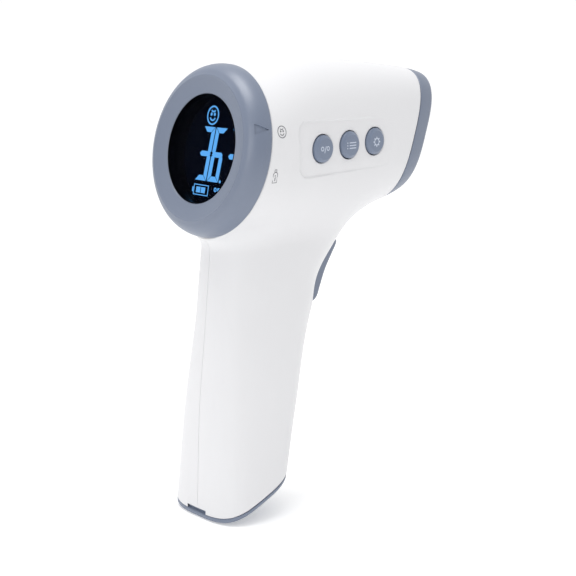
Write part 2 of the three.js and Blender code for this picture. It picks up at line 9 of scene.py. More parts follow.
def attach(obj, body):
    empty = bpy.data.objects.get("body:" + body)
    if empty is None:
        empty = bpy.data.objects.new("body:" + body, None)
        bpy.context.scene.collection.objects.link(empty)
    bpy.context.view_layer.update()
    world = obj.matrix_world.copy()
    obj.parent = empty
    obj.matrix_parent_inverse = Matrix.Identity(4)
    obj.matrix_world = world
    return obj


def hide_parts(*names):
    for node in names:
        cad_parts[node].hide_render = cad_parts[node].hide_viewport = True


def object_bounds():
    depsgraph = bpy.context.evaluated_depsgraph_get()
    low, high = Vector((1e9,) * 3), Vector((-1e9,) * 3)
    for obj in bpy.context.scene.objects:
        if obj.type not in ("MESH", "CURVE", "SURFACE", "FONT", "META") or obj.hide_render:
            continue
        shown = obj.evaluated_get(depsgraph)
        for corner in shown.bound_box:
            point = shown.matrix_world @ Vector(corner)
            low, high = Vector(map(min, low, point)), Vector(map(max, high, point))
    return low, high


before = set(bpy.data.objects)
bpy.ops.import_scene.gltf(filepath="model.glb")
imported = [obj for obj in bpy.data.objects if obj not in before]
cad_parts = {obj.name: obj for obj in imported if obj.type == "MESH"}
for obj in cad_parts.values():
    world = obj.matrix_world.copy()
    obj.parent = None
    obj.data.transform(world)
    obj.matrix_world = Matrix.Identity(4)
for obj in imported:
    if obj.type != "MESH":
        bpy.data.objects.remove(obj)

CAD_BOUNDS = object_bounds()

# Every size below is in millimetres and in the frame of the CAD model, unless its name says otherwise.
MM = 0.001

# ---------- sizes shared with the CAD model ----------
DISPLAY = {"y": -12.25, "z": 117.5, "tilt": 11}
NOSE = {"y": 66, "z": 118.5, "tilt": 17.9, "opening": 9, "front": -8.6}
BASE_SLOPE = 24
LID_THICK = 1.8
BARREL = {
    "depth": [6.7, 25, 50, 75, 90],
    "top": [28.1, 33.7, 37.5, 39.6, 40.1],
    "bottom": [-28.1, -24.8, -17.4, -7.9, 0],
    "half": [28.1, 25.2, 22.1, 19.3, 16.8],
    "power": [2, 2.5, 2.8, 2.9, 2.9],
}
HANDLE = {
    "height": [0, 30, 60, 85, 105],
    "back": [-15, -13.8, -10.9, -8.6, -7.2],
    "front": [13.1, 21, 29.6, 42.4, 54],
    "half": [18.5, 17.4, 16.5, 16, 16],
    "power": [3.2, 2.65, 2.2, 2.3, 2.45],
}
DISH = {"z": 73.5, "reach": 12.3, "deep": 2.6}
NECK = {"y": [15, 40], "blend": [6.9, 11]}
BUTTON = {"hole": 4.76, "y": [19.3, 32.2, 44.8], "z": [117.2, 117.65, 118], "taper": 7.1}
PANEL = {
    "back": 7.6,
    "front": 53.6,
    "low": 108.1,
    "high": 126.7,
    "corner": 4,
    "deep": 0.55,
    "fade": 50,
    "back_lean": 0.061,
    "top_fall": 0.023,
    "low_rise": 0.03,
}
TRIGGER = {"half": 5, "slot": 5.4, "low": 61, "high": 84, "pin_y": 35.4, "pin_z": 85.6}
LATCH = {"half": 5.2, "high": 2.9, "middle": -0.8}
SCREW_PLACES = [(33, 135), (50, 104), (7, 87), (7, 66)]
SCREW = {"core": 1.15, "head": 2.4, "well": 2.9, "crown": -10, "seat": -8, "end": 8.5}
HINGE = {"y": 15.507, "z": 0.9, "ear": 8.9}
CELL_SIZE = {"radius": 5.25, "length": 44.5, "apart": 5.6, "lean": 9.7, "foot": 6.5, "y": 0.4}
WALL = 2
SPLIT = 0.04

COLLAR_DEPTH = 6.7
SEAM_GAP = 0.15
BASE_GAP = LID_THICK
EDGE_ROUND = {"ring": 0.4, "nose": 0.35, "base": 0.35, "middle": 0.08, "key": 0.28, "other": 0.35}

# A point of the skin further out than these is on that side of the object.
SIDE_AT = {"right": 12, "left": -9, "front": 20, "back": -8}
# A distance that stands for an opening that is nowhere near.
FAR = 99
# The radius of the points of a turned profile that close it on its axis.
AXIS = 0.001

CAMERA = {"azimuth": 50.15, "elevation": 11.14, "distance": 500, "target": (0, 24.67, 67.02), "lens": 90.6}


# ---------- frames ----------
def facing_back(y, z, tilt):
    """A frame whose z axis points back at the user, tilted up, and whose y axis runs up the section."""
    s, c = math.sin(math.radians(tilt)), math.cos(math.radians(tilt))
    return Matrix(((1, 0, 0, 0), (0, s, -c, y), (0, c, s, z), (0, 0, 0, 1)))


DISPLAY_FRAME = facing_back(DISPLAY["y"], DISPLAY["z"], DISPLAY["tilt"])
NOSE_FRAME = facing_back(NOSE["y"], NOSE["z"], NOSE["tilt"])
BASE_FRAME = Matrix.Rotation(math.radians(BASE_SLOPE), 4, "X")


def side_frame(x, y, z, taper):
    """A frame on the barrel's right side: x towards the nose, y up, z outwards."""
    s, c = math.sin(math.radians(taper)), math.cos(math.radians(taper))
    return Matrix(((-s, 0, c, x), (c, 0, s, y), (0, 1, 0, z), (0, 0, 0, 1)))


def moved(points, matrix):
    a = np.array(matrix, float)
    return np.asarray(points, float) @ a[:3, :3].T + a[:3, 3]


def local(points, matrix):
    return moved(points, matrix.inverted())


# ---------- the outer surface as a formula ----------
def along(stations, values, x):
    """A smooth curve through the stations, straight beyond both ends."""
    xs, vs = np.array(stations, float), np.array(values, float)
    last = len(xs) - 1
    low, high = np.maximum(np.arange(last + 1) - 1, 0), np.minimum(np.arange(last + 1) + 1, last)
    slope = (vs[high] - vs[low]) / (xs[high] - xs[low])
    x = np.asarray(x, float)
    i = np.clip(np.searchsorted(xs, x, side="right") - 1, 0, last - 1)
    span = xs[i + 1] - xs[i]
    t = np.clip((x - xs[i]) / span, 0, 1)
    start = (1 + 2 * t) * (1 - t) ** 2 * vs[i] + t * (1 - t) ** 2 * span * slope[i]
    end = t * t * (3 - 2 * t) * vs[i + 1] + t * t * (t - 1) * span * slope[i + 1]
    beyond = np.minimum(x - xs[0], 0) * slope[0] + np.maximum(x - xs[last], 0) * slope[last]
    return start + end + beyond


def barrel_at(depth):
    return {k: along(BARREL["depth"], BARREL[k], depth) for k in ("top", "bottom", "half", "power")}


def handle_at(z):
    return {k: along(HANDLE["height"], HANDLE[k], z) for k in ("back", "half", "power")}


def handle_front(z):
    away = np.minimum(1, np.abs(z - DISH["z"]) / DISH["reach"])
    return along(HANDLE["height"], HANDLE["front"], z) - DISH["deep"] * (1 - away**2) ** 2


def section_distance(x, v, half, low, high, power):
    """How far outside a superellipse the point is, measured from its middle."""
    v = v - (low + high) / 2
    rise = (high - low) / 2
    g = (np.abs(x / half) ** power + np.abs(v / rise) ** power) ** (1 / power)
    return np.hypot(x, v) * (1 - 1 / np.maximum(g, 1e-6))


def barrel_distance(p):
    q = local(p, DISPLAY_FRAME)
    at = barrel_at(-q[:, 2])
    return section_distance(q[:, 0], q[:, 1], at["half"], at["bottom"], at["top"], at["power"])


def handle_distance(p):
    z = p[:, 2]
    at = handle_at(z)
    d = section_distance(p[:, 0], p[:, 1], at["half"], at["back"], handle_front(z), at["power"])
    return np.maximum(d, z - HANDLE["height"][-1])


def skin_distance(p):
    """The barrel and the handle, run together with a soft fillet at the neck."""
    a, b = barrel_distance(p), handle_distance(p)
    blend = np.interp(p[:, 1], NECK["y"], NECK["blend"])
    near = np.maximum(blend - np.abs(a - b), 0)
    return np.minimum(a, b) - near**2 / (4 * blend)


def slope_of(distance, p, step=0.05):
    g = np.empty_like(p)
    for axis in range(3):
        ahead, behind = p.copy(), p.copy()
        ahead[:, axis] += step
        behind[:, axis] -= step
        g[:, axis] = (distance(ahead) - distance(behind)) / (2 * step)
    return g


def settle(p, level=0.0, rounds=4):
    """Moves the points along the surface's slope until they lie at that level."""
    p = p.copy()
    for _ in range(rounds):
        g = slope_of(skin_distance, p)
        off = skin_distance(p) - level
        p -= g * (off / np.maximum((g**2).sum(1), 1e-6))[:, None]
    return p


def last_inside(points_at, near, far):
    """The largest distances at which points_at gives points inside the skin, by bisection."""
    for _ in range(26):
        middle = (near + far) / 2
        inside = skin_distance(points_at(middle)) < 0
        near = np.where(inside, middle, near)
        far = np.where(inside, far, middle)
    return near


def outline_on(matrix, z, inset, count):
    """The skin's outline on a plane parallel to a frame's, along rays from the middle."""
    angle = np.arange(count) * 2 * math.pi / count
    ray = np.stack([np.cos(angle), np.sin(angle), np.zeros(count)], 1)

    def points_at(distance):
        return moved(ray * distance[:, None] + [0, 0, z], matrix)

    edge = last_inside(points_at, np.full(count, 2.0), np.full(count, 40.0))
    return points_at(edge - inset)


def side_x(y, z, lift=0.0, side=1):
    """Where the skin's right or left side is at those heights, lifted off it a little."""
    y, z = np.asarray(y, float), np.asarray(z, float)

    def points_at(distance):
        return np.stack([distance * side, y, z], 1)

    return side * (last_inside(points_at, np.zeros(y.shape), np.full(y.shape, 40.0)) + lift)


# ---------- meshes ----------
def placed(name, data):
    """A new object with that data, in the scene."""
    obj = bpy.data.objects.new(name, data)
    bpy.context.scene.collection.objects.link(obj)
    return obj


def piece(name, points, faces, material, sharp=35):
    mesh = bpy.data.meshes.new(name)
    mesh.from_pydata((np.asarray(points, float) * MM).tolist(), [], faces)
    mesh.validate()
    obj = placed(name, mesh)
    mesh.materials.append(material)
    outwards(obj)
    smooth(obj, sharp)
    return obj


def outwards(obj):
    bm = bmesh.new()
    bm.from_mesh(obj.data)
    bmesh.ops.recalc_face_normals(bm, faces=bm.faces)
    if bm.calc_volume(signed=True) < 0:
        bmesh.ops.reverse_faces(bm, faces=bm.faces)
    bm.to_mesh(obj.data)
    bm.free()


def smooth(obj, sharp):
    obj.data.shade_smooth()
    obj.data.set_sharp_from_angle(angle=math.radians(sharp))


def applied(obj):
    """The object's mesh with its modifiers worked in."""
    graph = bpy.context.evaluated_depsgraph_get()
    made = bpy.data.meshes.new_from_object(obj.evaluated_get(graph))
    obj.modifiers.clear()
    old, obj.data = obj.data, made
    bpy.data.meshes.remove(old)
    return obj


def band(first, second, count, closed=True):
    """Quads between two rows of points."""
    steps = range(count if closed else count - 1)
    return [(first + i, first + (i + 1) % count, second + (i + 1) % count, second + i) for i in steps]


def rows_mesh(rows, wrapped=False):
    """A closed surface through rows of points: wrapped back to the first row, or capped by fans."""
    count = len(rows[0])
    points = np.concatenate(rows)
    faces = []
    for r in range(len(rows) - 1):
        faces += band(r * count, (r + 1) * count, count)
    if wrapped:
        faces += band((len(rows) - 1) * count, 0, count)
    else:
        for row, turned in ((0, True), (len(rows) - 1, False)):
            points = np.concatenate([points, rows[row].mean(0)[None]])
            middle = len(points) - 1
            for i in range(count):
                a, b = row * count + i, row * count + (i + 1) % count
                faces.append((b, a, middle) if turned else (a, b, middle))
    return points, faces


def lathe_mesh(profile, matrix, segments=96, wrapped=True):
    """Turns a profile of (radius, z) about a frame's z axis."""
    angle = np.arange(segments) * 2 * math.pi / segments
    rows = [
        moved(np.stack([r * np.cos(angle), r * np.sin(angle), np.full(segments, z)], 1), matrix)
        for r, z in profile
    ]
    return rows_mesh(rows, wrapped=wrapped)


def lathe(name, profile, matrix, material, segments=96, wrapped=True, sharp=35):
    return piece(name, *lathe_mesh(profile, matrix, segments, wrapped), material, sharp)


def curve_through(points, steps):
    """A smooth line through a few points in any number of dimensions."""
    p = np.asarray(points, float)
    t = np.arange(len(p))
    fine = np.linspace(0, len(p) - 1, (len(p) - 1) * steps + 1)
    return np.stack([along(t, p[:, k], fine) for k in range(p.shape[1])], 1)


def box_mesh(low, high, matrix=Matrix.Identity(4)):
    corners = [(x, y, z) for x in (low[0], high[0]) for y in (low[1], high[1]) for z in (low[2], high[2])]
    faces = [(0, 1, 3, 2), (4, 6, 7, 5), (0, 4, 5, 1), (2, 3, 7, 6), (0, 2, 6, 4), (1, 5, 7, 3)]
    return moved(corners, matrix), faces


def plate_faces(count):
    """The faces of a thin plate whose lower outline comes first and its upper outline next."""
    return [tuple(range(count))[::-1], tuple(range(count, 2 * count))] + band(0, count, count)


def combined(parts):
    points, faces, start = [], [], 0
    for p, f in parts:
        points.append(p)
        faces += [tuple(i + start for i in face) for face in f]
        start += len(p)
    return np.concatenate(points), faces


def cut(obj, tool):
    modifier = obj.modifiers.new("cut", "BOOLEAN")
    modifier.object = tool
    modifier.operation = "DIFFERENCE"
    modifier.solver = "MANIFOLD"
    modifier.material_mode = "TRANSFER"
    applied(obj)
    bpy.data.objects.remove(tool)
    return obj


# ---------- materials ----------
def finish(
    name,
    colour,
    roughness=0.45,
    spread=0.03,
    grain=0.25,
    bump=0.15,
    metallic=0.0,
    blotch=9.0,
    rough_spread=0.08,
    gloss=0.5,
):
    """A moulded or metal surface: fine grain in the bump, and slow changes in colour and roughness."""
    material = bpy.data.materials.new(name)
    material.use_nodes = True
    nodes, links = material.node_tree.nodes, material.node_tree.links
    shader = nodes["Principled BSDF"]
    shader.inputs["Metallic"].default_value = metallic
    shader.inputs["Specular IOR Level"].default_value = gloss
    place = nodes.new("ShaderNodeTexCoord")
    slow = noise(material, place, 1 / (blotch * MM), 3)
    fine = noise(material, place, 1 / (grain * MM), 2)
    ramp = nodes.new("ShaderNodeMix")
    ramp.data_type = "RGBA"
    ramp.inputs["A"].default_value = (*[c * (1 - spread) for c in colour], 1)
    ramp.inputs["B"].default_value = (*[min(1, c * (1 + spread)) for c in colour], 1)
    links.new(slow.outputs["Fac"], ramp.inputs["Factor"])
    links.new(ramp.outputs["Result"], shader.inputs["Base Color"])
    rough = nodes.new("ShaderNodeMapRange")
    rough.inputs["To Min"].default_value = roughness - rough_spread
    rough.inputs["To Max"].default_value = roughness + rough_spread
    links.new(fine.outputs["Fac"], rough.inputs["Value"])
    links.new(rough.outputs["Result"], shader.inputs["Roughness"])
    relief = nodes.new("ShaderNodeBump")
    relief.inputs["Strength"].default_value = bump
    relief.inputs["Distance"].default_value = 0.03 * MM
    links.new(fine.outputs["Fac"], relief.inputs["Height"])
    links.new(relief.outputs["Normal"], shader.inputs["Normal"])
    return material


def noise(material, place, scale, detail):
    nodes, links = material.node_tree.nodes, material.node_tree.links
    texture = nodes.new("ShaderNodeTexNoise")
    texture.inputs["Scale"].default_value = scale
    texture.inputs["Detail"].default_value = detail
    links.new(place.outputs["Object"], texture.inputs["Vector"])
    return texture


def glowing(name, colour, strength):
    material = finish(name, [c * 0.05 for c in colour], roughness=0.4, spread=0.3, blotch=3, gloss=0.05)
    shader = material.node_tree.nodes["Principled BSDF"]
    shader.inputs["Emission Color"].default_value = (*colour, 1)
    shader.inputs["Emission Strength"].default_value = strength
    return material


def clear(name):
    """A clear lens: what is behind it shows, under a faint reflection."""
    material = finish(name, (0.004, 0.005, 0.01), roughness=0.06, bump=0.02, rough_spread=0.02, gloss=0.04)
    shader = material.node_tree.nodes["Principled BSDF"]
    shader.inputs["Alpha"].default_value = 0.1
    return material


WHITE = finish("white_plastic", (0.685, 0.685, 0.70), roughness=0.38, spread=0.008, bump=0.10, blotch=14)
SLATE = finish("slate_plastic", (0.122, 0.152, 0.22), roughness=0.4, spread=0.02, bump=0.14, blotch=12,
               gloss=1.0)
KEY = finish("key_plastic", (0.155, 0.19, 0.265), roughness=0.3, spread=0.03, bump=0.18, grain=0.18)
PRINT = finish("grey_print", (0.13, 0.135, 0.15), roughness=0.6, spread=0.05)
LABEL = finish("label_print", (0.50, 0.55, 0.65), roughness=0.6, spread=0.04)
GLASS = clear("window_glass")
CUP = finish("black_cup_plastic", (0.0012, 0.0013, 0.002), roughness=0.5, bump=0.1, gloss=0.02)
DARK = finish("dark_display", (0.0012, 0.0022, 0.007), roughness=0.5, bump=0.02, gloss=0.0)
LIT = glowing("lit_segment", (0.125, 0.46, 1.0), 1.08)
PALE = finish("pale_plastic_inner", (0.62, 0.66, 0.70), roughness=0.5)
RUBBER = finish("rubber", (0.07, 0.075, 0.09), roughness=0.8, bump=0.25)
BOARD = finish("circuit_board_green", (0.012, 0.13, 0.055), roughness=0.45, spread=0.3, blotch=1.2)
BLACK = finish("black_plastic", (0.012, 0.012, 0.014), roughness=0.42, bump=0.2)
SENSOR = finish("funnel_black", (0.006, 0.006, 0.007), roughness=0.22, bump=0.05)
STEEL = finish("steel", (0.55, 0.56, 0.58), roughness=0.3, metallic=1.0, spread=0.08, blotch=1.5)
GOLD = finish("gold_plate", (0.75, 0.5, 0.18), roughness=0.28, metallic=1.0, spread=0.05)
CELL = finish("cell_sleeve_print", (0.05, 0.075, 0.12), roughness=0.32, spread=0.15, metallic=0.3)
RED = finish("red_lead_skin", (0.42, 0.03, 0.02), roughness=0.5)
LENS = finish("sensor_lens", (0.004, 0.004, 0.006), roughness=0.08, bump=0.0, rough_spread=0.02)

# The finishes of the CAD nodes that stay as they are.
NODE_FINISH = [
    (DARK, ["lcd_panel"]),
    (PALE, ["backlight", "sensor_ribbon", "bulkhead"]),
    (RUBBER, ["upper_contact_strip", "lower_contact_strip"]),
    (BOARD, ["main_board", "sensor_board", "button_board", "trigger_board"]),
    (BLACK, [
        "mode_switch", "buzzer", "processor", "sensor_holder", "switch_unit", "switch_memory", "switch_set",
        "trigger_switch", "lead_negative",
    ]),
    (LENS, ["sensor_window"]),
    (GOLD, ["sensor_can"]),
    (STEEL, ["trigger_pin", "lid_pin", "lid_contact", "contact_left", "contact_right"]),
    (RED, ["lead_positive"]),
]
for material, nodes in NODE_FINISH:
    for node in nodes:
        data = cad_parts[node].data
        data.materials.clear()
        data.materials.append(material)


def hand_over(obj, body, slot, *nodes):
    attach(obj, body)
    if nodes:
        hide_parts(*nodes)


# ---------- housings ----------
VOXEL = 0.75
BUTTON_FRAMES = []
for y, z in zip(BUTTON["y"], BUTTON["z"]):
    depth = (y - DISPLAY["y"]) * math.cos(math.radians(DISPLAY["tilt"]))
    x = float(along(BARREL["depth"], BARREL["half"], depth))
    BUTTON_FRAMES.append(side_frame(x, y, z, BUTTON["taper"]))


def superellipse(half, low, high, power, count):
    angle = np.arange(count) * 2 * math.pi / count
    c, s = np.cos(angle), np.sin(angle)
    x = half * np.sign(c) * np.abs(c) ** (2 / power)
    v = (low + high) / 2 + (high - low) / 2 * np.sign(s) * np.abs(s) ** (2 / power)
    return x, v


def rough_skin():
    """The barrel and the handle as two overlapping closed lofts, remeshed into one even skin."""
    count = 96
    barrel, handle = [], []
    for depth in np.linspace(2, 92, 40):
        at = barrel_at(depth)
        x, v = superellipse(at["half"], at["bottom"], at["top"], at["power"], count)
        barrel.append(moved(np.stack([x, v, np.full(count, -depth)], 1), DISPLAY_FRAME))
    for z in np.linspace(-16, 105, 60):
        at = handle_at(z)
        x, y = superellipse(at["half"], at["back"], float(handle_front(z)), at["power"], count)
        handle.append(np.stack([x, y, np.full(count, z)], 1))
    skin = piece("skin", *combined([rows_mesh(barrel), rows_mesh(handle)]), WHITE)
    modifier = skin.modifiers.new("even", "REMESH")
    modifier.mode = "VOXEL"
    modifier.voxel_size = VOXEL * MM
    return applied(skin)


def edge_distances(p):
    """How far each point is inside each edge of the two housings: ring, nose, base and middle."""
    ring = -local(p, DISPLAY_FRAME)[:, 2] - COLLAR_DEPTH
    nose = local(p, NOSE_FRAME)[:, 2] - SEAM_GAP
    base = local(p, BASE_FRAME)[:, 2] - BASE_GAP
    return ring, nose, base, np.abs(p[:, 0]) - SPLIT


def opening_distances(p):
    """How far each point is outside each opening that is cut into the skin."""
    found = []
    for matrix in BUTTON_FRAMES:
        q = local(p, matrix)
        d = np.hypot(q[:, 0], q[:, 1]) - BUTTON["hole"]
        found.append(np.where(p[:, 0] > SIDE_AT["right"], d, FAR))
    for y, z in SCREW_PLACES:
        d = np.hypot(p[:, 1] - y, p[:, 2] - z) - SCREW["well"]
        found.append(np.where(p[:, 0] < SIDE_AT["left"], d, FAR))
    middle = (TRIGGER["low"] + TRIGGER["high"]) / 2
    half = (TRIGGER["high"] - TRIGGER["low"]) / 2
    slot = box_distance(p[:, 0], p[:, 2] - middle, TRIGGER["slot"], half)
    found.append(np.where(p[:, 1] > SIDE_AT["front"], slot, FAR))
    q = local(p, BASE_FRAME)
    notch = box_distance(p[:, 0] - LATCH["middle"], q[:, 2], LATCH["half"], LATCH["high"])
    found.append(np.where(q[:, 1] < SIDE_AT["back"], notch, FAR))
    return found


def box_distance(u, v, half_u, half_v):
    du, dv = np.abs(u) - half_u, np.abs(v) - half_v
    return np.hypot(np.maximum(du, 0), np.maximum(dv, 0)) + np.minimum(np.maximum(du, dv), 0)


def panel_inside(p):
    """How far inside the sunken panel's rounded outline each point of the right side is."""
    y, z = p[:, 1], p[:, 2]
    left = y - PANEL["back"] - (PANEL["high"] - z) * PANEL["back_lean"]
    right = PANEL["front"] - y
    top = PANEL["high"] - (y - PANEL["back"]) * PANEL["top_fall"] - z
    low = z - PANEL["low"] - (y - PANEL["back"]) * PANEL["low_rise"]
    u, v = np.minimum(left, right), np.minimum(top, low)
    r = PANEL["corner"]
    corner = r - np.hypot(np.maximum(r - u, 0), np.maximum(r - v, 0))
    return np.where(p[:, 0] > SIDE_AT["right"], corner, -FAR)


def smoothstep(t):
    t = np.clip(t, 0, 1)
    return t * t * (3 - 2 * t)


def relief_level(p):
    """How far below the plain skin each point lies: rounded edges, flared openings and the sunken panel."""
    level = np.zeros(len(p))
    openings = opening_distances(p)
    keys = len(BUTTON_FRAMES)
    rounds = [(d, EDGE_ROUND[k]) for d, k in zip(edge_distances(p), ("ring", "nose", "base", "middle"))]
    rounds += [(d, EDGE_ROUND["key"]) for d in openings[:keys]]
    rounds += [(d, EDGE_ROUND["other"]) for d in openings[keys:]]
    for distance, r in rounds:
        t = np.clip(distance, 0, r)
        level = np.minimum(level, np.sqrt(np.maximum(r * r - (r - t) ** 2, 0)) - r)
    fade = np.clip(1 - (p[:, 1] - PANEL["back"]) / PANEL["fade"], 0, 1)
    return level - PANEL["deep"] * fade * smoothstep(panel_inside(p) / 0.6 + 0.5)


def coordinates(obj):
    co = np.empty(len(obj.data.vertices) * 3)
    obj.data.vertices.foreach_get("co", co)
    return co.reshape(-1, 3) / MM


def put_coordinates(obj, p):
    obj.data.vertices.foreach_set("co", (p * MM).ravel())
    obj.data.update()


def kept_zone(p, margin=1.2):
    ring, nose, base, _ = edge_distances(p)
    return (ring > -margin) & (nose > -margin) & (base > -margin)


def settle_skin(obj):
    p = coordinates(obj)
    zone = kept_zone(p)
    p[zone] = settle(p[zone])
    put_coordinates(obj, p)


def refine(obj, reach):
    """Splits the faces close to an opening or to the panel's border."""
    bm = bmesh.new()
    bm.from_mesh(obj.data)
    centre = np.array([f.calc_center_median()[:] for f in bm.faces]) / MM
    near = np.min(np.abs(opening_distances(centre)), 0) < reach
    near |= np.abs(panel_inside(centre)) < reach
    bm.faces.ensure_lookup_table()
    edges = {e for i in np.flatnonzero(near) for e in bm.faces[i].edges}
    bmesh.ops.subdivide_edges(bm, edges=list(edges), cuts=1, use_grid_fill=True)
    bm.to_mesh(obj.data)
    bm.free()
    settle_skin(obj)


def opening_cutters():
    parts = []
    for matrix in BUTTON_FRAMES:
        parts.append(lathe_mesh([(BUTTON["hole"], -6), (BUTTON["hole"], 6)], matrix, 96, wrapped=False))
    across = Matrix.Rotation(math.radians(-90), 4, "Y")
    for y, z in SCREW_PLACES:
        matrix = Matrix.Translation((0, y, z)) @ across
        parts.append(lathe_mesh([(SCREW["well"], 9), (SCREW["well"], 40)], matrix, 48, wrapped=False))
    parts.append(box_mesh((-TRIGGER["slot"], 24, TRIGGER["low"]), (TRIGGER["slot"], 52, TRIGGER["high"])))
    left, right = LATCH["middle"] - LATCH["half"], LATCH["middle"] + LATCH["half"]
    parts.append(box_mesh((left, -30, -9), (right, -8, LATCH["high"]), BASE_FRAME))
    return piece("openings", *combined(parts), CUP)


def slice_at(bm, point, normal, clear=False):
    """Cuts along a plane, and drops what lies on its outer side if asked."""
    geometry = bm.verts[:] + bm.edges[:] + bm.faces[:]
    bmesh.ops.bisect_plane(
        bm, geom=geometry, plane_co=Vector(point) * MM, plane_no=Vector(normal), dist=1e-7, clear_outer=clear
    )


def outer_sheet():
    """The skin with its openings and ends cut out, as one open sheet with rounded edges."""
    skin = rough_skin()
    settle_skin(skin)
    refine(skin, 1.3)
    refine(skin, 0.75)
    cut(skin, opening_cutters())
    bm = bmesh.new()
    bm.from_mesh(skin.data)
    bmesh.ops.delete(bm, geom=[f for f in bm.faces if f.material_index > 0], context="FACES")
    planes = [
        (DISPLAY_FRAME, -COLLAR_DEPTH, 1, EDGE_ROUND["ring"]),
        (NOSE_FRAME, SEAM_GAP, -1, EDGE_ROUND["nose"]),
        (BASE_FRAME, BASE_GAP, -1, EDGE_ROUND["base"]),
    ]
    for matrix, level, outwards_sign, r in planes:
        normal = matrix.to_3x3() @ Vector((0, 0, outwards_sign))
        for inside in (0, 0.15 * r, 0.5 * r, r):
            point = matrix @ Vector((0, 0, level - outwards_sign * inside))
            slice_at(bm, point, normal, clear=inside == 0)
    for side in (-1, 1):
        for inside in (0, 0.04, 0.11, 0.22):
            slice_at(bm, (side * (SPLIT + inside), 0, 0), (side, 0, 0))
    bm.to_mesh(skin.data)
    bm.free()
    p = coordinates(skin)
    put_coordinates(skin, settle(p, relief_level(p)))
    return skin


def half_housing(skin, name, side):
    """One side of the sheet, thickened inwards."""
    obj = placed(name, skin.data.copy())
    bm = bmesh.new()
    bm.from_mesh(obj.data)
    slice_at(bm, (side * SPLIT, 0, 0), (-side, 0, 0), clear=True)
    stray = [v for v in bm.verts if not v.link_faces]
    bmesh.ops.delete(bm, geom=stray, context="VERTS")
    bmesh.ops.recalc_face_normals(bm, faces=bm.faces)
    outermost = max(bm.faces, key=lambda f: f.calc_center_median().x * side)
    if outermost.normal.x * side < 0:
        bmesh.ops.reverse_faces(bm, faces=bm.faces)
    bm.to_mesh(obj.data)
    bm.free()
    obj.data.materials.clear()
    obj.data.materials.append(WHITE)
    shell = obj.modifiers.new("wall", "SOLIDIFY")
    shell.thickness = WALL * MM
    shell.offset = -1
    shell.use_even_offset = False
    applied(obj)
    smooth(obj, 40)
    return obj


def screw_well(y, z):
    """The sleeve that a housing screw sits in, from its floor out to the inside of the wall."""
    count = 48
    angle = np.arange(count) * 2 * math.pi / count

    def ring(r, x):
        ys, zs = y + r * np.cos(angle), z + r * np.sin(angle)
        xs = side_x(ys, zs, -1.0, -1) if x is None else np.full(count, float(x))
        return np.stack([xs, ys, zs], 1)

    inner, outer, hole = SCREW["well"], 4.0, 1.5
    rows = [ring(hole, SCREW["seat"]), ring(inner, SCREW["seat"]), ring(inner, None)]
    rows += [ring(outer, None), ring(outer, -6.5), ring(hole, -6.5)]
    return rows_mesh(rows, wrapped=True)


def hinge_ear(side):
    """The knuckle of a housing that the lid's pin passes through."""
    middle = BASE_FRAME @ Vector((side * HINGE["ear"], HINGE["y"], HINGE["z"]))
    along_x = Matrix.Translation(middle) @ Matrix.Rotation(math.pi / 2, 4, "Y")
    knuckle = [(0.65, -0.9), (0.65, 0.9), (0.8, 1), (0.9, 0.9), (0.9, -0.9), (0.8, -1)]
    return lathe_mesh(knuckle, along_x, 32)


def joined_piece(obj, parts, name):
    """Adds closed islands to an object's mesh."""
    extra = piece(name, *combined(parts), WHITE)
    bm = bmesh.new()
    bm.from_mesh(obj.data)
    bm.from_mesh(extra.data)
    bm.to_mesh(obj.data)
    bm.free()
    bpy.data.objects.remove(extra)
    smooth(obj, 40)


sheet = outer_sheet()
for name, side in (("right", 1), ("left", -1)):
    shell = half_housing(sheet, name + "_shell", side)
    extras = [hinge_ear(side)]
    if side < 0:
        extras += [screw_well(y, z) for y, z in SCREW_PLACES]
    joined_piece(shell, extras, name + "_extras")
    hand_over(shell, "body", "white_housing", name + "_housing")
bpy.data.objects.remove(sheet)


# ---------- mode ring ----------
POINTER = {"angle": 17.5, "from": 3.1, "to": 7.9, "half": 1.75, "deep": 0.35}


def pointer_rows(flank):
    """Cross sections of the triangular tool that engraves the pointer, laid along the ring's flank."""
    length = np.concatenate([[0], np.cumsum(np.hypot(*np.diff(flank, axis=0).T))])
    rows = []
    for s in np.linspace(POINTER["from"], POINTER["to"], 14):
        r, z = np.interp(s, length, flank[:, 0]), np.interp(s, length, flank[:, 1])
        dr = np.interp(s + 0.1, length, flank[:, 0]) - r
        dz = np.interp(s + 0.1, length, flank[:, 1]) - z
        out = np.array([-dz, dr]) / math.hypot(dr, dz)
        half = POINTER["half"] * (POINTER["to"] - s) / (POINTER["to"] - POINTER["from"]) + 0.03
        row = []
        for side, lift in ((-0.9, -POINTER["deep"]), (0.9, -POINTER["deep"]), (1.05, 0.8), (-1.05, 0.8)):
            turn = math.radians(POINTER["angle"]) + side * half / r
            at = np.array([r, z]) + out * lift
            row.append((at[0] * math.cos(turn), at[0] * math.sin(turn), at[1]))
        rows.append(moved(row, DISPLAY_FRAME))
    return rows


